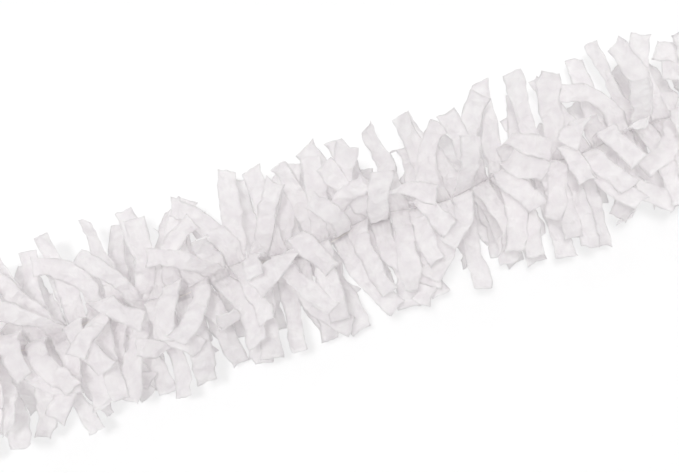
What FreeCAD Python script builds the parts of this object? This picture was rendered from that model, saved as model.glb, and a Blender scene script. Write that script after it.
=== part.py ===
"""Tissue paper festoon garland: plies of white tissue, fringed and sewn together down the middle.

Each ply is one long strip of tissue paper, cut across from both long edges into a fringe of tabs, so
that only a narrow spine is left whole. The plies lie on each other and are held by one gathering
thread, a running stitch along the spine with a knot at each end. The fringe is fluffed out: the plies
fan apart on both sides of the seam, neighbouring tabs of a ply part to alternate sides, and every tab
leans, bends and turns in its own way, clear of the tabs around it. Many curl up. The upper tabs flop
over, most of them towards -Y, and so many lie across the seam. The seam twists and sways a little.
The garland lies on a table, where the lowest tabs are bent aside and rest on their ends.

Frame: +X runs along the seam, +Z is up from the table. The origin is at the middle of the garland's
length and width, on the table. All sizes are in millimetres and all angles in degrees.
"""

import FreeCAD
import Part

import itertools
import math
import os
import random

Vector = FreeCAD.Vector
Rotation = FreeCAD.Rotation

# The strip of tissue, as it is cut.
STRIP_WIDTH = 114.0
SPINE_WIDTH = 6.0
TAB_PITCH = 12.0
TAB_COUNT = 39
CUT_GAP = 0.7
TISSUE_THICKNESS = 0.1
PLY_COUNT = 3

# The seam and its thread.
SEAM_HEIGHT = 40.0
SEAM_ROLL_ANGLE = 50.0
SEAM_TWIST_ANGLE = 90.0
SEAM_SWAY = 2.5
SWAY_LENGTH = 80.0
PLY_SPACING = 0.5
THREAD_DIAMETER = 0.6
THREAD_CLEARANCE = 0.15
THREAD_SIDES = 6
TABS_PER_STITCH = 2
KNOT_DIAMETER = 2.4

# How the fringe is fluffed out. A tab is flat between its folds: the stretches are shares of its length,
# from root to tip, and the flop stages are how far each has turned if the tab flops over. The lean, bend
# and twist are the usual sizes of random angles. The lowest angles are above the level at which a tab
# must stand to flop over, or to sag with the others.
TAB_STRETCHES = (0.25, 0.25, 0.25, 0.25)
FLOP_STAGES = (0.0, 0.33, 0.67, 1.0)
FAN_JITTER_ANGLE = 9.0
LEAN_ANGLE = 14.0
BEND_ANGLE = 12.0
TWIST_ANGLE = 18.0
FLOP_SHARE = 0.9
LOWEST_FLOP_ANGLE = 10.0
FLOP_DIP_ANGLE = 30.0
SAG_SHARE = 0.75
LOWEST_SAG_ANGLE = 25.0
SAG_SPREAD_ANGLE = 75.0
CURL_SHARE = 0.35
SLIGHTEST_CURL_ANGLE = 12.0
SHARPEST_CURL_ANGLE = 40.0
SHARPEST_FOLD_ANGLE = 65.0
SHARPEST_TWIST_ANGLE = 60.0
TAB_CLEARANCE = 1.4
SAMPLE_STEP = 1.6
END_OVERHANG = 8.0
ROUNDS = 3
MOST_ROUNDS = 8
TRIES = 60
BOLDNESS = 3
SPLAY_HALVINGS = 24
SEED = 5

TAB_LENGTH = (STRIP_WIDTH - SPINE_WIDTH) / 2
TAB_WIDTH = TAB_PITCH - CUT_GAP
STRIP_LENGTH = TAB_COUNT * TAB_PITCH
STRETCH_LENGTHS = [share * TAB_LENGTH for share in TAB_STRETCHES]
FAN_STEP_ANGLE = 180.0 / PLY_COUNT
REST_HEIGHT = TISSUE_THICKNESS / 2
CORE_RADIUS = SPINE_WIDTH / 2 + 0.8 * STRETCH_LENGTHS[0]
STACK_HALF = ((PLY_COUNT - 1) * PLY_SPACING + TISSUE_THICKNESS) / 2
THREAD_RADIUS = THREAD_DIAMETER / 2
HOLE_HALF = math.sqrt(2) * (THREAD_RADIUS + THREAD_CLEARANCE)
STITCH_LIFT = STACK_HALF + THREAD_CLEARANCE + THREAD_RADIUS

ALONG = Vector(1, 0, 0)
ACROSS = Vector(0, 1, 0)
UP = Vector(0, 0, 1)
NEIGHBOURS = list(itertools.product((-1, 0, 1), repeat=3))


def seam_point(x):
    """The middle of the seam at x, as it sways from side to side and up and down."""
    phase = 2 * math.pi * x / SWAY_LENGTH
    return Vector(x, SEAM_SWAY * math.sin(phase), SEAM_HEIGHT + SEAM_SWAY * math.sin(0.62 * phase))


def seam_turn(x):
    """The rotation that carries a flat seam to its rolled and twisted place at x."""
    return Rotation(ALONG, SEAM_ROLL_ANGLE + SEAM_TWIST_ANGLE * x / STRIP_LENGTH)


def on_seam(x, across, lift):
    """A point given beside the flat seam, carried to where the seam lies at x."""
    return seam_point(x) + seam_turn(x).multVec(Vector(0, across, lift))


def ply_lift(ply):
    """How far the middle of a ply's sheet lies above the middle of the stack."""
    return (ply - (PLY_COUNT - 1) / 2) * PLY_SPACING


def root_ends(index):
    """Where tab number index starts and ends along the strip."""
    start = -STRIP_LENGTH / 2 + index * TAB_PITCH
    end = start + TAB_PITCH
    if index > 0:
        start += CUT_GAP / 2
    if index < TAB_COUNT - 1:
        end -= CUT_GAP / 2
    return start, end


def fan_angle(ply, side, index):
    """The angle, up from the flat seam, at which a tab leaves the spine."""
    middle = (ply - (PLY_COUNT - 1) / 2) * FAN_STEP_ANGLE
    parity = (index + ply + (side > 0)) % 2
    return middle + (2 * parity - 1) * FAN_STEP_ANGLE / 4


def splay_angle(height, tilt):
    """The bend at each fold with which a tab from a height just reaches the table.

    Tilt is the angle from straight down at which the tab sets out. A tab that is too short for the
    height stays straight.
    """
    low, high = 0.0, math.pi / 2
    for _ in range(SPLAY_HALVINGS):
        bend = (low + high) / 2
        drop = sum(length * math.cos(tilt + number * bend) for number, length in enumerate(STRETCH_LENGTHS))
        low, high = (bend, high) if drop > height else (low, bend)
    return math.degrees(low)


def level_out(start, along, length):
    """Where a stretch ends when it would pass through the table, with its new across and along."""
    drop = start.z - REST_HEIGHT
    level = Vector(along.x, along.y, 0)
    level = level.normalize() if level.Length > 0.2 else Vector(0, math.copysign(1, start.y), 0)
    reach = math.sqrt(max(0.0, length**2 - drop**2))
    return start + level * reach - UP * drop, UP.cross(level), level


def flop(across, along, draw):
    """How a tab lies at its root, and how it would lie at its tip if it flopped over, as rotations.

    It flops to a random side. A steep one flops across the garland, most likely towards -Y.
    """
    heading = draw.uniform(0, 360)
    if along.z > math.sin(math.radians(LOWEST_SAG_ANGLE)):
        heading = math.copysign(90, draw.random() - SAG_SHARE)
        heading += draw.uniform(-SAG_SPREAD_ANGLE, SAG_SPREAD_ANGLE)
    dip = draw.uniform(-FLOP_DIP_ANGLE, FLOP_DIP_ANGLE)
    ahead = Rotation(UP, heading).multVec(Rotation(ACROSS, dip).multVec(ALONG))
    beside = UP.cross(ahead).normalize()
    beside *= math.copysign(1, beside.dot(across))
    return [Rotation(x, y, x.cross(y), "XYZ") for x, y in ((across, along), (beside, ahead))]


def draw_tab(ply, side, index, draw, ease):
    """A random shape for one tab, as (middle, half width) at each station from root to tip.

    Ease, from 0 to 1, scales how far the tab strays from its plain direction.
    """
    root = [on_seam(x, side * SPINE_WIDTH / 2, ply_lift(ply)) for x in root_ends(index)]
    middle, half = (root[0] + root[1]) / 2, (root[1] - root[0]) / 2
    stations = [(middle, half)]
    seam = (root[1] - root[0]).normalize()
    jitter = draw.uniform(-FAN_JITTER_ANGLE, FAN_JITTER_ANGLE) * ease
    fan = math.radians(fan_angle(ply, side, index) + jitter)
    plain = seam_turn(middle.x).multVec(Vector(0, side * math.cos(fan), math.sin(fan)))
    plain = (plain - seam * plain.dot(seam)).normalize()

    lean = math.radians(draw.gauss(0, LEAN_ANGLE)) * ease
    along = seam * math.sin(lean) + plain * math.cos(lean)
    across = (seam - along * along.dot(seam)).normalize()
    bend = draw.gauss(0, BEND_ANGLE) * ease
    if draw.random() < CURL_SHARE * ease:
        bend = math.copysign(draw.uniform(SLIGHTEST_CURL_ANGLE, SHARPEST_CURL_ANGLE), bend)
    splay = splay_angle(middle.z - REST_HEIGHT, math.acos(-along.z)) if along.z < 0 else 0.0
    if splay:  # it bends less than that, so that it still comes down to the table
        bend = math.copysign(max(0.0, splay - abs(bend)), across.cross(along).z)
    flops = plain.z > math.sin(math.radians(LOWEST_FLOP_ANGLE)) and draw.random() < FLOP_SHARE
    start, goal = flop(across, along, draw)
    for number, length in enumerate(STRETCH_LENGTHS):
        if flops:
            turn = start.slerp(goal, ease * FLOP_STAGES[number])
            across, along = turn.multVec(ALONG), turn.multVec(ACROSS)
        elif number:
            along = Rotation(across, bend).multVec(along)
            across = Rotation(along, draw.gauss(0, TWIST_ANGLE) * ease).multVec(across)
        end = middle + along * length
        if end.z < REST_HEIGHT:
            end, level_across, along = level_out(middle, along, length)
            across = level_across * math.copysign(1, level_across.dot(across))
        middle = end
        stations.append((middle, across * (TAB_WIDTH / 2)))
    return stations


def is_creased(stations):
    """Whether a tab folds or twists more sharply somewhere than tissue would without a crease."""
    runs = [b - a for (a, _), (b, _) in zip(stations, stations[1:])]
    widths = [half for _, half in stations]
    folds = [math.degrees(a.getAngle(b)) for a, b in zip(runs, runs[1:])]
    twists = [math.degrees(a.getAngle(b)) for a, b in zip(widths, widths[1:])]
    return max(folds) > SHARPEST_FOLD_ANGLE or max(twists) > SHARPEST_TWIST_ANGLE


def rests(stations):
    """Whether a tab comes down to the table."""
    return min(middle.z for middle, _ in stations) < REST_HEIGHT + 1e-6


def samples(stations):
    """Points spread over a tab, each with how far it lies along the tab. The root is left out."""
    columns = int(math.ceil(TAB_WIDTH / SAMPLE_STEP))
    spread = []
    start = 0.0
    for run, (a, half_a), (b, half_b) in zip(STRETCH_LENGTHS, stations, stations[1:]):
        rows = int(math.ceil(run / SAMPLE_STEP))
        for row in range(1, rows + 1):
            share = row / rows
            length = start + share * run
            if length < STRETCH_LENGTHS[0] / 2:
                continue
            middle, half = a + (b - a) * share, half_a + (half_b - half_a) * share
            for column in range(columns + 1):
                spread.append((middle + half * (2 * column / columns - 1), length))
        start += run
    return spread


class Crowd:
    """All the tabs' points, kept in a grid of cells, to find the tabs that come too near each other."""

    def __init__(self):
        self.cells = {}
        self.spreads = {}

    def cell(self, point):
        return tuple(math.floor(value / TAB_CLEARANCE) for value in point)

    def place(self, tab, spread):
        """Puts a tab where its spread of points is, in place of where it was."""
        for point, _ in self.spreads.get(tab, ()):
            self.cells[self.cell(point)].pop(tab, None)
        self.spreads[tab] = spread
        for point, _ in spread:
            self.cells.setdefault(self.cell(point), {}).setdefault(tab, []).append(point)

    def is_clear(self, tab, spread):
        """Whether a tab's points would keep off the table, the seam, the ends and all the other tabs."""
        for point, length in spread:
            if point.z < REST_HEIGHT - 1e-6 or abs(point.x) > STRIP_LENGTH / 2 + END_OVERHANG:
                return False
            if length > STRETCH_LENGTHS[0] and (point - seam_point(point.x)).Length < CORE_RADIUS:
                return False
        return not any(self.meets(tab, point) for point, _ in spread)

    def meets(self, tab, point):
        """Whether a point of a tab is too near a point of another tab."""
        i, j, k = self.cell(point)
        for step in NEIGHBOURS:
            for other, points in self.cells.get((i + step[0], j + step[1], k + step[2]), {}).items():
                if other != tab and any((point - p).Length < TAB_CLEARANCE for p in points):
                    return True
        return False


def fluffed_fringe():
    """Every tab's stations, by (ply, side, number).

    The tabs start in their plain directions. Then each in turn takes the first shape drawn for it that
    is clear of the others as they are, or stays as it is. The shapes get plainer as the tries go on.
    Tabs that stand on the table stay on it. The rounds go on until no tabs meet.
    """
    draw = random.Random(SEED)
    crowd, fringe = Crowd(), {}
    tabs = sorted(itertools.product(range(PLY_COUNT), (1, -1), range(TAB_COUNT)), key=lambda tab: tab[2])
    for tab in tabs:
        fringe[tab] = draw_tab(*tab, draw, 0)
        crowd.place(tab, samples(fringe[tab]))
    standing = {tab for tab in tabs if rests(fringe[tab])}
    for turn in range(MOST_ROUNDS):
        for tab in tabs:
            for attempt in range(TRIES):
                stations = draw_tab(*tab, draw, 1 - (attempt / TRIES) ** BOLDNESS)
                if is_creased(stations) or (tab in standing and not rests(stations)):
                    continue
                if crowd.is_clear(tab, samples(stations)):
                    fringe[tab] = stations
                    crowd.place(tab, samples(stations))
                    break
        if turn + 1 >= ROUNDS and all(crowd.is_clear(tab, samples(fringe[tab])) for tab in tabs):
            return fringe
    raise ValueError("the fringe is too crowded for its tabs to lie clear of each other")


def stitch_tabs():
    """The numbers of the tabs beside which the thread passes through the spine."""
    spare = (TAB_COUNT - 1) % TABS_PER_STITCH
    return range(spare // 2, TAB_COUNT, TABS_PER_STITCH)


def stitch_x(index):
    """Where the thread passes through the spine beside tab number index."""
    return -STRIP_LENGTH / 2 + (index + 0.5) * TAB_PITCH


class Sheet:
    """The middle surface of a sheet of tissue: points, and triangles that all face the same way."""

    def __init__(self):
        self.points = []
        self.triangles = []

    def add(self, point):
        self.points.append(point)
        return len(self.points) - 1

    def quad(self, a, b, c, d):
        self.triangles += [(a, b, c), (a, c, d)]

    def quad_with_hole(self, a, b, c, d, x, lift):
        """A piece of the spine, with corners a to d in order, round a four-sided needle hole at x."""
        rim = [(-HOLE_HALF, 0), (0, -HOLE_HALF), (HOLE_HALF, 0), (0, HOLE_HALF)]
        west, south, east, north = [self.add(on_seam(x + step, across, lift)) for step, across in rim]
        self.triangles += [(a, b, south), (b, east, south), (b, c, east), (c, north, east)]
        self.triangles += [(c, d, north), (d, west, north), (d, a, west), (a, south, west)]

    def solid(self):
        """The closed solid, half the tissue's thickness to each side of the middle surface."""
        normals = [Vector(0, 0, 0) for _ in self.points]
        edges = []
        for triangle in self.triangles:
            a, b, c = [self.points[i] for i in triangle]
            normal = (b - a).cross(c - a).normalize()
            for i in triangle:
                normals[i] += normal
            edges += zip(triangle, triangle[1:] + triangle[:1])
        shifts = [n.normalize() * (TISSUE_THICKNESS / 2) for n in normals]
        upper = [p + s for p, s in zip(self.points, shifts)]
        lower = [p - s for p, s in zip(self.points, shifts)]

        faces = [[upper[i] for i in triangle] for triangle in self.triangles]
        faces += [[lower[i] for i in reversed(triangle)] for triangle in self.triangles]
        shared = set(edges)
        for a, b in edges:
            if (b, a) not in shared:
                faces += [[upper[b], upper[a], lower[a]], [upper[b], lower[a], lower[b]]]
        return solid_of(faces)


def solid_of(faces):
    """One solid bounded by flat faces, each a list of corners."""
    shell = Part.makeCompound([Part.Face(Part.makePolygon(f + [f[0]])) for f in faces])
    shell.sewShape()
    solid = Part.Solid(shell.Shells[0] if shell.Shells else shell)
    if solid.Volume < 0:
        solid.reverse()
    return solid


def ply_solid(ply, fringe):
    """One ply: the spine with its needle holes, and the fringe on both sides."""
    sheet = Sheet()
    roots = {1: [], -1: []}
    for side in (1, -1):
        for index in range(TAB_COUNT):
            rows = [[sheet.add(m - h), sheet.add(m + h)] for m, h in fringe[ply, side, index]]
            roots[side].append(rows[0])
            for inner, outer in zip(rows, rows[1:]):
                if side > 0:
                    sheet.quad(inner[0], inner[1], outer[1], outer[0])
                else:
                    sheet.quad(outer[0], outer[1], inner[1], inner[0])
    for index in range(TAB_COUNT):
        (a, b), (d, c) = roots[-1][index], roots[1][index]
        if index in stitch_tabs():
            sheet.quad_with_hole(a, b, c, d, stitch_x(index), ply_lift(ply))
        else:
            sheet.quad(a, b, c, d)
        if index:
            sheet.quad(roots[-1][index - 1][1], a, d, roots[1][index - 1][1])
    return sheet.solid()


def tube(stops):
    """A many-sided tube with mitred corners, through (centre, radius) stops."""
    centres = [centre for centre, _ in stops]
    runs = [(b - a).normalize() for a, b in zip(centres, centres[1:])]
    side = (ALONG - runs[0] * ALONG.dot(runs[0])).normalize()
    rings = []
    for (centre, radius), before, after in zip(stops, runs[:1] + runs, runs + runs[-1:]):
        mitre = (before + after).normalize()
        ring = []
        for number in range(THREAD_SIDES):
            spoke = Rotation(before, 360 * number / THREAD_SIDES).multVec(side) * radius
            ring.append(centre + spoke - before * (spoke.dot(mitre) / before.dot(mitre)))
        rings.append(ring)
        side = ring[0] - centre
        side = (side - after * side.dot(after)).normalize()
    faces = [rings[0][::-1], rings[-1]]
    for ring, following in zip(rings, rings[1:]):
        for number in range(THREAD_SIDES):
            beside = (number + 1) % THREAD_SIDES
            faces.append([ring[number], ring[beside], following[beside], following[number]])
    return solid_of(faces)


def knot(x, side):
    """The stops of a knot that sits on the stack over the hole at x, from its outer end inwards."""
    radius = KNOT_DIAMETER / 2
    profile = [(2.0, 0.5), (1.5, 1.0), (0.6, 1.0), (0.1, THREAD_RADIUS / radius)]
    foot = STACK_HALF + THREAD_CLEARANCE
    return [(on_seam(x, 0, side * (foot + height * radius)), share * radius) for height, share in profile]


def gathering_thread():
    """The thread, over and under the stack by turns, with a knot on the first hole and on the last."""
    holes = [stitch_x(index) for index in stitch_tabs()]
    stops = knot(holes[0], 1)
    side = -1
    for x, following in zip(holes, holes[1:]):
        cuts = [x + (number + 0.5) * TAB_PITCH for number in range(TABS_PER_STITCH)]
        stops += [(on_seam(place, 0, side * STITCH_LIFT), THREAD_RADIUS) for place in [x, *cuts, following]]
        side = -side
    return tube(stops + knot(holes[-1], side)[::-1])


def main():
    fringe = fluffed_fringe()
    pieces = {f"tissue_ply_{ply + 1}": ply_solid(ply, fringe) for ply in range(PLY_COUNT)}
    pieces["gathering_thread"] = gathering_thread()
    box = Part.makeCompound(list(pieces.values())).BoundBox
    move = Vector(-box.Center.x, -box.Center.y, -box.ZMin)
    os.makedirs("parts", exist_ok=True)
    for name, solid in pieces.items():
        solid.translate(move)
        solid.exportStep(f"parts/{name}.step")
        print(f"{name}: {solid.Volume:.1f} mm3, {len(solid.Faces)} faces, valid {solid.isValid()}")
    for x in (stitch_x(stitch_tabs()[0]), stitch_x(stitch_tabs()[-1])):
        end = seam_point(x) + move
        print(f"end stitch at {end.x:.2f}, {end.y:.2f}, {end.z:.2f}")


if __name__ == "__main__":
    main()
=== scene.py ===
"""Looks of the tissue paper festoon garland.

Each ply is laid again over its solid as one thin sheet. The tabs of its fringe run in smooth curves
through the solid's folds, are cupped across, are cut a little unevenly at the tip and are crumpled.
The gathering thread is rounded over its solid. The garland lies on a white table in soft light.
"""

import math
import random
from bisect import bisect

import bmesh
import bpy
from bpy.props import FloatProperty, FloatVectorProperty, IntProperty, PointerProperty
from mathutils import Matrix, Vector, noise


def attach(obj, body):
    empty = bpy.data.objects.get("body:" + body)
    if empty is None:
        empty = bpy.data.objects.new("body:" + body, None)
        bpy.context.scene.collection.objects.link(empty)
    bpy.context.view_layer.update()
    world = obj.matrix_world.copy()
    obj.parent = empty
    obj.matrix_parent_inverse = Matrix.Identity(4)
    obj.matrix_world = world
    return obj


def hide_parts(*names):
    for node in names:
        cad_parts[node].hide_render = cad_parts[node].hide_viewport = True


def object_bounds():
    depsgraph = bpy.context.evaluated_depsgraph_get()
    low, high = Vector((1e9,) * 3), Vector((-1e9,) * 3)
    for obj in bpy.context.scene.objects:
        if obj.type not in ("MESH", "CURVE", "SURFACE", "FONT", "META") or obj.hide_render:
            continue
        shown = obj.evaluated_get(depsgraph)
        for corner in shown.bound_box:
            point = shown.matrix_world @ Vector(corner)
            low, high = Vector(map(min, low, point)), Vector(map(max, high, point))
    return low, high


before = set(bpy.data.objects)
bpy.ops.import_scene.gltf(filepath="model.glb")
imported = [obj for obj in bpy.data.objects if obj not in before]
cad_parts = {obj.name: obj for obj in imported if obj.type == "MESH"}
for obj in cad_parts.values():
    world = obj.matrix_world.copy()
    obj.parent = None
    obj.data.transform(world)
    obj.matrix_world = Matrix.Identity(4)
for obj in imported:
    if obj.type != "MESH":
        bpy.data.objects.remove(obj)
CAD_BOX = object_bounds()

bl_info = {
    "name": "Tissue Paper Festoon Garland",
    "version": (1, 0, 0),
    "blender": (4, 5, 0),
    "location": "3D View > Sidebar > Garland",
    "description": "Dresses the garland's solids in crumpled tissue paper and cotton thread",
    "category": "Object",
}

MM = 0.001
PLIES = sorted(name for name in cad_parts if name.startswith("tissue_ply"))
THREAD = "gathering_thread"

# How a solid is read. Corners closer than WELD are one corner. A face of a ply's rim has an edge
# shorter than RIM_THICKNESSES times the sheet's thickness. A wider gap than WIDEST_CUT between two
# tabs is an end of the strip. Triangles of the thread that meet at less than FACET_ANGLE, in
# radians, are joined.
WELD = 0.001 * MM
RIM_THICKNESSES = 4
WIDEST_CUT = 2 * MM
FACET_ANGLE = 0.5

# The soft folds and the crumples set in over these distances from the seam. They lift or lower the
# paper only above the table, where they set in over this height.
SWAY_ZONE = (4 * MM, 18 * MM)
CRUMPLE_ZONE = (2 * MM, 10 * MM)
LIFT_ZONE = (0, 10 * MM)

# The crumples are drawn at two sizes. The fine ones' size and depth are shares of the others'.
# The others start at a place of their own in the noise, so that they don't repeat the soft folds.
FINE_SIZE = 0.45
FINE_DEPTH = 0.5
CRUMPLE_START = Vector((31, 17, 5))

# A tab has this many rows in its mesh, however short it is.
FEWEST_ROWS = 4

# The ridge of a tab's cup lies off the middle by up to this share of half the tab's width. The cup
# sets in from the root over this share of the tab's length.
CUP_SHIFT = 0.5
CUP_SET_IN = 0.5

# How often a cut edge wanders: over half the width of a tip, and over a metre of a tab's side. The
# two sides of a tab lie SIDES_APART in the noise, so that they wander differently. Each tab has its
# own place in the noise, up to LAST_RAG.
TIP_WAVES = 4
SIDE_WAVES = 150
SIDES_APART = 9
LAST_RAG = 1000

# The flat strip. A UV map holds every point's place on it, in metres: along the strip, and out
# from its middle line.
STRIP_MAP = "strip"
HALF_SPINE = 3 * MM

# Each softbox: the setting of its strength, the angle it fills in degrees, and where it stands. The
# one overhead draws thin shadows beside the tabs. The wide one, far off behind and to the left,
# shades the folds.
SOFTBOXES = {
    "softbox": ("lamp", 6, (-0.11, 0.23, 2.0)),
    "side_softbox": ("side_lamp", 30, (-0.6, 1.26, 2.0)),
}

# The table reaches this far from the garland.
HALF_TABLE = 4000 * MM

# Sockets of a Mix node that mixes colours. Its names are the same for every kind of data.
MIX_SHARE, MIX_A, MIX_B, MIX_RESULT = 0, 6, 7, 2


def linear(colour):
    """The linear colour of an sRGB hex value, with full alpha."""
    shares = [int(colour[i : i + 2], 16) / 255 for i in (1, 3, 5)]
    return (
        *(s / 12.92 if s <= 0.04045 else ((s + 0.055) / 1.055) ** 2.4 for s in shares),
        1.0,
    )


def length_prop(name, description, millimetres):
    return FloatProperty(
        name=name, description=description, default=millimetres * MM, min=0, unit="LENGTH"
    )


def share_prop(name, description, share):
    return FloatProperty(name=name, description=description, default=share, min=0, max=1)


def strength_prop(name, description, strength):
    return FloatProperty(name=name, description=description, default=strength, min=0)


def colour_prop(name, description, colour):
    return FloatVectorProperty(
        name=name,
        description=description,
        default=linear(colour),
        size=4,
        subtype="COLOR",
        min=0,
        max=1,
    )


class TissueSettings(bpy.types.PropertyGroup):
    """The tissue paper's make, and how it was handled."""

    thickness: length_prop("Thickness", "Thickness of one sheet of tissue", 0.1)
    row: length_prop("Row", "Length of paper between two rows of the mesh, along a tab", 1.3)
    columns: IntProperty(name="Columns", description="Mesh columns across a tab", default=8, min=2)
    cup: length_prop("Cup", "How far a tab bulges across its width, at most", 1.6)
    slant: length_prop("Slant", "How far out of square a tab's tip is cut, at most", 0.9)
    rag: length_prop("Rag", "How far a cut edge wanders", 0.5)
    sway: length_prop("Sway", "How far the soft folds carry the paper aside", 2.8)
    sway_size: length_prop("Sway size", "Size of the soft folds", 19.0)
    crumple: length_prop("Crumple", "How far the small crumples carry the paper aside", 1.2)
    crumple_size: length_prop("Crumple size", "Size of the small crumples", 8.0)
    colour: colour_prop("Colour", "Tissue where its fibres lie thick", "#FEFDFD")
    thin_colour: colour_prop("Thin colour", "Tissue where its fibres lie thin", "#F9F7F8")
    through: share_prop("Through", "Share of the light on the fibres that passes through", 0.65)
    between: share_prop("Between", "Share of the light that passes between the fibres", 0.15)
    seed: IntProperty(
        name="Seed", description="Seed of all that is uneven in the tissue", default=4
    )


class ThreadSettings(bpy.types.PropertyGroup):
    """The gathering thread."""

    colour: colour_prop("Colour", "Bleached cotton thread", "#F2EFEA")
    strand: length_prop("Strand", "Distance between twisted strands, along the thread", 0.45)


class StageSettings(bpy.types.PropertyGroup):
    """The table, the light and the camera."""

    table_colour: colour_prop("Table", "White laminate table top", "#FDFDFD")
    glow: share_prop("Glow", "Share of plain white in the table top, as it is seen", 0.6)
    lamp: strength_prop("Softbox", "Strength of the softbox overhead", 1.15)
    side_lamp: strength_prop("Side softbox", "Strength of the softbox to the side", 0.27)
    sky: strength_prop("Room light", "Strength of the even light of the room", 0.57)
    lens: FloatProperty(
        name="Lens", description="Focal length, in mm", default=100.0, unit="CAMERA"
    )
    width_seen: length_prop("Width seen", "Width of the view at half the garland's height", 380.0)
    roll: FloatProperty(
        name="Roll",
        description="Turn of the garland in the view",
        default=math.radians(19.4),
        unit="ROTATION",
    )


def add_node(tree, kind, inputs=None, **settings):
    """Adds a node with its settings, and sets each input to a value or links it to a socket."""
    node = tree.nodes.new(kind)
    for name, value in settings.items():
        setattr(node, name, value)
    for name, value in (inputs or {}).items():
        if isinstance(value, bpy.types.NodeSocket):
            tree.links.new(value, node.inputs[name])
        else:
            node.inputs[name].default_value = value
    return node


def calculated(tree, operation, *values):
    """The result of a Math node on values or sockets."""
    node = add_node(tree, "ShaderNodeMath", dict(enumerate(values)), operation=operation)
    return node.outputs["Value"]


def mixed_shader(tree, share, first, second):
    """Two shaders mixed, with this share of the second."""
    node = add_node(tree, "ShaderNodeMixShader", {0: share, 1: first, 2: second})
    return node.outputs["Shader"]


def wave_scale(spacing):
    """The scale of a Wave node whose bands lie this far apart."""
    return math.tau / 20 / spacing


def new_tree(owner):
    """The emptied node tree of a material or world."""
    owner.use_nodes = True
    owner.node_tree.nodes.clear()
    return owner.node_tree


def tissue_clouds(tree, place, settings):
    """The paper's colour: patches of 6 mm where its fibres lie thick or thin."""
    cloud = add_node(
        tree,
        "ShaderNodeTexNoise",
        {"Vector": place, "Scale": 1 / (6 * MM), "Detail": 2.0, "Roughness": 0.5},
    )
    # The noise seldom leaves the middle of its range, so that part is spread over both colours.
    cloudy = add_node(
        tree,
        "ShaderNodeMapRange",
        {"Value": cloud.outputs["Fac"], "From Min": 0.35, "From Max": 0.65},
    )
    colour = add_node(
        tree,
        "ShaderNodeMix",
        {
            MIX_SHARE: cloudy.outputs["Result"],
            MIX_A: settings.thin_colour,
            MIX_B: settings.colour,
        },
        data_type="RGBA",
    )
    return colour.outputs[MIX_RESULT]


def tissue_relief(tree, strip, place):
    """The height of the paper's creases, grain and pleats, in metres."""
    # Creases: the edges of facets 7 mm and 2.5 mm across, warped so that none is straight.
    warp = add_node(
        tree,
        "ShaderNodeTexNoise",
        {"Vector": strip, "Scale": 1 / (9 * MM), "Detail": 2.0},
        noise_dimensions="2D",
    )
    warped = add_node(
        tree,
        "ShaderNodeVectorMath",
        {0: warp.outputs["Color"], 1: (6 * MM, 6 * MM, 0), 2: strip},
        operation="MULTIPLY_ADD",
    )
    heights = []
    for size, depth in ((7.0 * MM, 0.9 * MM), (2.5 * MM, 0.12 * MM)):
        facets = add_node(
            tree,
            "ShaderNodeTexVoronoi",
            {"Vector": warped.outputs["Vector"], "Scale": 1 / size},
            voronoi_dimensions="2D",
            feature="F1",
        )
        heights.append(calculated(tree, "MULTIPLY", facets.outputs["Distance"], depth))

    # Fibres are 0.02 mm wide, too fine to show, so the grain is drawn at 0.7 mm.
    grain = add_node(
        tree, "ShaderNodeTexNoise", {"Vector": place, "Scale": 1 / (0.7 * MM), "Detail": 2.0}
    )
    heights.append(calculated(tree, "MULTIPLY", grain.outputs["Fac"], 0.02 * MM))

    # Pleats 0.22 mm deep and 2.6 mm apart run out from the spine and die away over 20 mm.
    pleats = add_node(
        tree,
        "ShaderNodeTexWave",
        {
            "Vector": strip,
            "Scale": wave_scale(2.6 * MM),
            "Distortion": 1.5,
            "Detail": 1.0,
            "Detail Scale": 0.3,
        },
        bands_direction="X",
    )
    across = add_node(tree, "ShaderNodeSeparateXYZ", {"Vector": strip}).outputs["Y"]
    depth = add_node(
        tree,
        "ShaderNodeMapRange",
        {
            "Value": calculated(tree, "ABSOLUTE", across),
            "From Min": HALF_SPINE,
            "From Max": HALF_SPINE + 20 * MM,
            "To Min": 0.22 * MM,
            "To Max": 0.0,
        },
    )
    heights.append(
        calculated(tree, "MULTIPLY", pleats.outputs["Fac"], depth.outputs["Result"])
    )

    total = heights[0]
    for height in heights[1:]:
        total = calculated(tree, "ADD", total, height)
    return total


def tissue_material(settings):
    """White tissue paper, 17 g/m2, machine made and crumpled by hand.

    It is matt and lets more than half the light through, a little of it straight between the
    fibres. It is cloudy where its fibres lie thick and thin, is creased all over, and is drawn into
    fine pleats near the seam.
    """
    material = bpy.data.materials.new("white_tissue_paper_17_gsm")
    tree = new_tree(material)
    strip = add_node(tree, "ShaderNodeUVMap", uv_map=STRIP_MAP).outputs["UV"]
    place = add_node(tree, "ShaderNodeTexCoord").outputs["Object"]
    colour = tissue_clouds(tree, place, settings)
    relief = tissue_relief(tree, strip, place)
    bump = add_node(
        tree, "ShaderNodeBump", {"Height": relief, "Strength": 1.0, "Distance": 1.0}
    ).outputs["Normal"]
    paper = add_node(
        tree,
        "ShaderNodeBsdfPrincipled",
        {"Base Color": colour, "Roughness": 0.85, "IOR": 1.45, "Normal": bump},
    )
    through = add_node(tree, "ShaderNodeBsdfTranslucent", {"Color": colour, "Normal": bump})
    between = add_node(tree, "ShaderNodeBsdfTransparent")
    fibres = mixed_shader(
        tree, settings.through, paper.outputs["BSDF"], through.outputs["BSDF"]
    )
    sheer = mixed_shader(tree, settings.between, fibres, between.outputs["BSDF"])
    add_node(tree, "ShaderNodeOutputMaterial", {"Surface": sheer})
    return material


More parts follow.
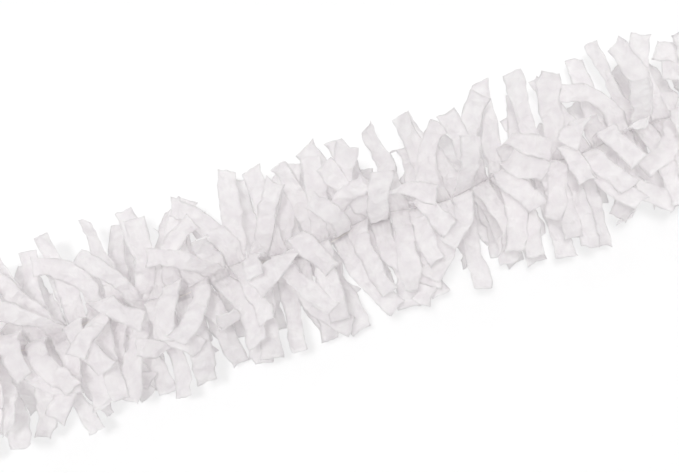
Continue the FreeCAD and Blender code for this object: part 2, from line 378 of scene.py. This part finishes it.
def thread_material(settings):
    """Bleached cotton sewing thread, two strands twisted: matt, ribbed, softly lit by its fuzz."""
    material = bpy.data.materials.new("bleached_cotton_thread")
    tree = new_tree(material)
    strands = add_node(
        tree,
        "ShaderNodeTexWave",
        {
            "Vector": add_node(tree, "ShaderNodeTexCoord").outputs["Object"],
            "Scale": wave_scale(settings.strand),
            "Distortion": 0.4,
        },
        bands_direction="DIAGONAL",
    )
    bump = add_node(
        tree,
        "ShaderNodeBump",
        {"Height": strands.outputs["Fac"], "Strength": 0.8, "Distance": 0.08 * MM},
    )
    cotton = add_node(
        tree,
        "ShaderNodeBsdfPrincipled",
        {
            "Base Color": settings.colour,
            "Roughness": 0.8,
            "IOR": 1.5,
            "Sheen Weight": 0.25,
            "Normal": bump.outputs["Normal"],
        },
    )
    add_node(tree, "ShaderNodeOutputMaterial", {"Surface": cotton.outputs["BSDF"]})
    return material


def outline(node, thickness):
    """The corners round one of the two faces of a ply's solid, in order, from just past a cut."""
    skin = bmesh.new()
    skin.from_mesh(node.data)
    bmesh.ops.remove_doubles(skin, verts=skin.verts, dist=WELD)
    longest = RIM_THICKNESSES * thickness
    rim = [f for f in skin.faces if min(e.calc_length() for e in f.edges) < longest]
    bmesh.ops.delete(skin, geom=rim, context="FACES")
    sides = [e.link_loops[0] for e in skin.edges if e.is_boundary]
    after = {side.vert: side.link_loop_next.vert for side in sides}
    cut = min(sides, key=lambda side: side.edge.calc_length())
    corners = [cut.link_loop_next.vert]
    while after[corners[-1]] != corners[0]:
        corners.append(after[corners[-1]])
    places = [corner.co.copy() for corner in corners]
    skin.free()
    return places


def flipped(tabs):
    """Tabs in the other order along the strip, each with its sides swapped."""
    return [tab[::-1] for tab in reversed(tabs)]


def tab_rows(tab):
    """A tab's corners, which go round its tip, as rows of two from root to tip."""
    half = len(tab) // 2
    return list(zip(tab[:half], tab[: half - 1 : -1]))


def tab_pairs(node, settings):
    """A ply's tabs, in pairs across the spine. Each tab is rows of corners, from root to tip."""
    corners = outline(node, settings.thickness)

    # Every tab has the same number of corners. A cut follows each, but for the last on either side.
    ahead = corners[1:] + corners[:1]
    cuts = sum((q - p).length < WIDEST_CUT for p, q in zip(corners, ahead))
    size = len(corners) // (cuts + 2)
    tabs = [corners[i : i + size] for i in range(0, len(corners), size)]

    # The list is turned to begin at an end of the strip, so that each half of it is one side.
    following = tabs[1:] + tabs[:1]
    gaps = [(after[0] - tab[-1]).length for tab, after in zip(tabs, following)]
    start = next(i for i, gap in enumerate(gaps, 1) if gap > WIDEST_CUT)
    tabs = tabs[start:] + tabs[:start]
    one, other = tabs[: len(tabs) // 2], flipped(tabs[len(tabs) // 2 :])
    if one[0][0].x > one[-1][0].x:
        one, other = flipped(one), flipped(other)
    if one[0][0].y < other[0][0].y:
        one, other = other, one
    return [(tab_rows(a), tab_rows(b)) for a, b in zip(one, other)]


def smooth_curve(points, stops):
    """The smooth curve through points at stops, as a function of the length along it."""
    chords = [(b - a) / (t - s) for a, b, s, t in zip(points, points[1:], stops, stops[1:])]
    slopes = chords[:1]
    for before, after, r, s, t in zip(chords, chords[1:], stops, stops[1:], stops[2:]):
        slopes.append((before * (t - s) + after * (s - r)) / (t - r))
    slopes.append(chords[-1])

    def place(length):
        number = bisect(stops, length, 1, len(stops) - 1) - 1
        run = stops[number + 1] - stops[number]
        share = (length - stops[number]) / run
        s2, s3 = share * share, share**3
        start, end = 2 * s3 - 3 * s2 + 1, 3 * s2 - 2 * s3
        return (
            points[number] * start
            + slopes[number] * (run * (s3 - 2 * s2 + share))
            + points[number + 1] * end
            + slopes[number + 1] * (run * (s3 - s2))
        )

    return place


def eased(value, low, high):
    """From 0 below low to 1 above high, smoothly."""
    share = min(max((value - low) / (high - low), 0.0), 1.0)
    return share * share * (3 - 2 * share)


def root_middle(rows):
    """The middle of a tab's root."""
    return (rows[0][0] + rows[0][1]) / 2


def seam_line(pairs):
    """The line along the middle of the spine, as a smooth curve by x."""
    centres = [(root_middle(a) + root_middle(b)) / 2 for a, b in pairs]
    return smooth_curve(centres, [centre.x for centre in centres])


def crumpled(point, seam, settings):
    """Where the folds and crumples carry a point. They carry all sheets alike, so none meet."""
    size = settings.crumple_size
    sway = noise.noise_vector(point / settings.sway_size) * settings.sway
    crumple = noise.noise_vector(point / size + CRUMPLE_START) * settings.crumple
    crumple += noise.noise_vector(point / (FINE_SIZE * size)) * (FINE_DEPTH * settings.crumple)
    off = point - seam(point.x)
    off_seam = math.hypot(off.y, off.z)
    move = sway * eased(off_seam, *SWAY_ZONE) + crumple * eased(off_seam, *CRUMPLE_ZONE)
    move.z *= eased(point.z, *LIFT_ZONE)
    moved = point + move
    moved.z = max(moved.z, settings.thickness)
    return moved


def lay_tab(rows, seam, settings, draw):
    """A tab's sheet: lines of points from root to tip, each with its place on the flat strip."""
    left, right = zip(*rows)
    middles = [(p + q) / 2 for p, q in rows]
    stops = [0.0]
    for p, q in zip(middles, middles[1:]):
        stops.append(stops[-1] + (q - p).length)
    length = stops[-1]
    left_edge, right_edge = smooth_curve(left, stops), smooth_curve(right, stops)
    width = (right[0] - left[0]).length
    steps = max(FEWEST_ROWS, round(length / settings.row))
    cup = draw.uniform(-1, 1) * settings.cup
    cup_shift = draw.uniform(-CUP_SHIFT, CUP_SHIFT)
    slant = draw.uniform(-1, 1) * settings.slant
    rag_place = draw.uniform(0, LAST_RAG)

    def laid(step, column):
        """A point of the sheet. Across the tab, u runs from -1 at its left edge to 1."""
        u = 2 * column / settings.columns - 1
        rag = noise.noise(Vector((u * TIP_WAVES, rag_place, 0))) * settings.rag
        out = (step / steps) * (length + slant * u + rag)
        p, q = left_edge(out), right_edge(out)
        further = out + MM
        ahead = left_edge(further) + right_edge(further) - p - q
        edge = Vector((out * SIDE_WAVES, rag_place, SIDES_APART * (u > 0)))
        wander = noise.noise(edge) * settings.rag / width
        point = p.lerp(q, (u * (1 + 2 * wander) + 1) / 2)
        normal = (q - p).cross(ahead).normalized()
        bulge = cup * (1 - (u - cup_shift) ** 2) * eased(out, 0, CUP_SET_IN * length)
        flat = (left[0].x + (u + 1) / 2 * width, HALF_SPINE + out)
        return crumpled(point + normal * bulge, seam, settings), flat

    return [
        [laid(step, column) for column in range(settings.columns + 1)] for step in range(steps + 1)
    ]


def lay_ply(pairs, seam, settings, draw):
    """A ply's sheet, laid in smooth curves over its solid, as a mesh of no thickness."""
    sheet = bmesh.new()
    strip = sheet.loops.layers.uv.new(STRIP_MAP)
    places = {}
    upper, lower = [], []
    for pair in pairs:
        for side, rows, roots in zip((1, -1), pair, (upper, lower)):
            grid = []
            for line in lay_tab(rows, seam, settings, draw):
                grid.append([sheet.verts.new(point) for point, _ in line])
                for vert, (_, (along, out)) in zip(grid[-1], line):
                    places[vert] = (along, side * out)
            for inner, outer in zip(grid, grid[1:]):
                for i in range(settings.columns):
                    corners = (inner[i], inner[i + 1], outer[i + 1], outer[i])
                    sheet.faces.new(corners if side > 0 else corners[::-1])
            roots += grid[0]
    for i in range(len(upper) - 1):
        sheet.faces.new((lower[i], lower[i + 1], upper[i + 1], upper[i]))
    for face in sheet.faces:
        face.smooth = True
        for loop in face.loops:
            loop[strip].uv = places[loop.vert]
    return sheet


def thicken(sheet, thickness):
    """Gives a sheet its two sides, and a rim round every cut edge."""
    strip = sheet.loops.layers.uv[STRIP_MAP]
    sheet.normal_update()
    upper, faces = list(sheet.verts), list(sheet.faces)
    cuts = [e.link_loops[0] for e in sheet.edges if e.is_boundary]
    cuts = [(loop.vert, loop.link_loop_next.vert, loop[strip].uv.copy()) for loop in cuts]
    lower = {v: sheet.verts.new(v.co - v.normal * thickness / 2) for v in upper}
    for face in faces:
        under = sheet.faces.new([lower[v] for v in reversed(face.verts)])
        under.smooth = True
        for loop, above in zip(under.loops, reversed(face.loops)):
            loop[strip].uv = above[strip].uv
    for a, b, place in cuts:
        rim = sheet.faces.new((b, a, lower[a], lower[b]))
        for loop in rim.loops:
            loop[strip].uv = place
    for v in upper:
        v.co += v.normal * thickness / 2


def add_piece(name, mesh, material, node):
    """Puts a piece in the scene in place of its solid."""
    piece = bpy.data.objects.new(name, mesh)
    bpy.context.scene.collection.objects.link(piece)
    mesh.materials.append(material)
    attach(piece, "root")
    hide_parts(node)
    return piece


class GARLAND_OT_add_tissue(bpy.types.Operator):
    """Lays the plies of crumpled tissue paper over their solids"""

    bl_idname = "garland.add_tissue"
    bl_label = "Add the Tissue Plies"

    def execute(self, context):
        settings = context.scene.garland_tissue
        material = tissue_material(settings)
        draw = random.Random(settings.seed)
        noise.seed_set(settings.seed)
        plies = {name: tab_pairs(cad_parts[name], settings) for name in PLIES}
        seam = seam_line(plies[PLIES[0]])
        for name, pairs in plies.items():
            sheet = lay_ply(pairs, seam, settings, draw)
            thicken(sheet, settings.thickness)
            mesh = bpy.data.meshes.new(f"{name}_paper")
            sheet.to_mesh(mesh)
            sheet.free()
            add_piece(f"{name}_paper", mesh, material, name)
        return {"FINISHED"}


class GARLAND_OT_add_thread(bpy.types.Operator):
    """Rounds the gathering thread over its solid"""

    bl_idname = "garland.add_thread"
    bl_label = "Add the Gathering Thread"

    def execute(self, context):
        settings = context.scene.garland_thread
        tube = bmesh.new()
        tube.from_mesh(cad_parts[THREAD].data)
        bmesh.ops.remove_doubles(tube, verts=tube.verts, dist=WELD)
        bmesh.ops.join_triangles(
            tube,
            faces=tube.faces,
            angle_face_threshold=FACET_ANGLE,
            angle_shape_threshold=math.pi,
        )
        for face in tube.faces:
            face.smooth = True
        mesh = bpy.data.meshes.new("gathering_thread_twist")
        tube.to_mesh(mesh)
        tube.free()
        material = thread_material(settings)
        piece = add_piece("gathering_thread_twist", mesh, material, THREAD)
        rounding = piece.modifiers.new("rounding", "SUBSURF")
        rounding.levels = rounding.render_levels = 2
        return {"FINISHED"}


class GARLAND_OT_add_stage(bpy.types.Operator):
    """Sets the table, the soft studio light and the camera straight above"""

    bl_idname = "garland.add_stage"
    bl_label = "Add the Stage"

    def execute(self, context):
        settings = context.scene.garland_stage
        scene = context.scene
        low, high = CAD_BOX
        height = (low.z + high.z) / 2

        floor_mesh = bpy.data.meshes.new("table_top")
        half = HALF_TABLE
        corners = [(-half, -half, 0), (half, -half, 0), (half, half, 0), (-half, half, 0)]
        floor_mesh.from_pydata(corners, [], [(0, 1, 2, 3)])
        floor = bpy.data.objects.new("table_top", floor_mesh)
        scene.collection.objects.link(floor)
        floor_mesh.materials.append(table_material(settings))
        scene.world = studio_world(settings)

        for name, (strength, width, place) in SOFTBOXES.items():
            lamp_data = bpy.data.lights.new(name, "SUN")
            lamp_data.angle = math.radians(width)
            lamp_data.energy = getattr(settings, strength)
            lamp = bpy.data.objects.new(name, lamp_data)
            lamp.location = place
            lamp.rotation_euler = (-lamp.location).to_track_quat("-Z", "Y").to_euler()
            scene.collection.objects.link(lamp)

        camera_data = bpy.data.cameras.new("camera")
        camera_data.lens = settings.lens
        camera = bpy.data.objects.new("camera", camera_data)
        distance = settings.width_seen * settings.lens / camera_data.sensor_width
        camera.location = (0, 0, height + distance)
        camera.rotation_euler = (0, 0, -settings.roll)
        scene.collection.objects.link(camera)
        scene.camera = camera
        scene.view_settings.view_transform = "Standard"
        return {"FINISHED"}


def seen_rays(tree):
    """1 for the rays that show a surface to the eye, straight or by gloss or glass, else 0."""
    path = add_node(tree, "ShaderNodeLightPath")
    seen = path.outputs["Is Camera Ray"]
    for name in ("Is Glossy Ray", "Is Transmission Ray"):
        seen = calculated(tree, "MAXIMUM", seen, path.outputs[name])
    return seen


def table_material(settings):
    """White melamine laminate, satin: an even white that takes a soft shadow."""
    material = bpy.data.materials.new("white_melamine_laminate")
    tree = new_tree(material)
    laminate = add_node(
        tree,
        "ShaderNodeBsdfPrincipled",
        {"Base Color": settings.table_colour, "Roughness": 0.6, "IOR": 1.5},
    )
    glow = add_node(tree, "ShaderNodeEmission", {"Strength": 1.0})
    share = calculated(tree, "MULTIPLY", seen_rays(tree), settings.glow)
    both = mixed_shader(tree, share, laminate.outputs["BSDF"], glow.outputs["Emission"])
    add_node(tree, "ShaderNodeOutputMaterial", {"Surface": both})
    return material


def studio_world(settings):
    """An even white room, seen as white."""
    world = bpy.data.worlds.new("white_studio")
    tree = new_tree(world)
    light, seen = (
        add_node(
            tree, "ShaderNodeBackground", {"Color": (1, 1, 1, 1), "Strength": strength}
        ).outputs["Background"]
        for strength in (settings.sky, 1.0)
    )
    both = mixed_shader(tree, seen_rays(tree), light, seen)
    add_node(tree, "ShaderNodeOutputWorld", {"Surface": both})
    return world


OPERATORS = (GARLAND_OT_add_tissue, GARLAND_OT_add_thread, GARLAND_OT_add_stage)
SETTINGS = {
    "garland_tissue": TissueSettings,
    "garland_thread": ThreadSettings,
    "garland_stage": StageSettings,
}


class GARLAND_PT_panel(bpy.types.Panel):
    """Lists the garland's settings and steps"""

    bl_idname = "GARLAND_PT_panel"
    bl_label = "Tissue Garland"
    bl_space_type = "VIEW_3D"
    bl_region_type = "UI"
    bl_category = "Garland"

    def draw(self, context):
        for operator, name in zip(OPERATORS, SETTINGS):
            box = self.layout.box()
            group = getattr(context.scene, name)
            for prop in SETTINGS[name].__annotations__:
                box.prop(group, prop)
            box.operator(operator.bl_idname)


def register():
    for cls in (*SETTINGS.values(), *OPERATORS, GARLAND_PT_panel):
        bpy.utils.register_class(cls)
    for name, cls in SETTINGS.items():
        setattr(bpy.types.Scene, name, PointerProperty(type=cls))


def unregister():
    for name in SETTINGS:
        delattr(bpy.types.Scene, name)
    for cls in reversed((*SETTINGS.values(), *OPERATORS, GARLAND_PT_panel)):
        bpy.utils.unregister_class(cls)


def main():
    register()
    bpy.ops.garland.add_tissue()
    bpy.ops.garland.add_thread()
    bpy.ops.garland.add_stage()


if __name__ == "__main__":
    main()
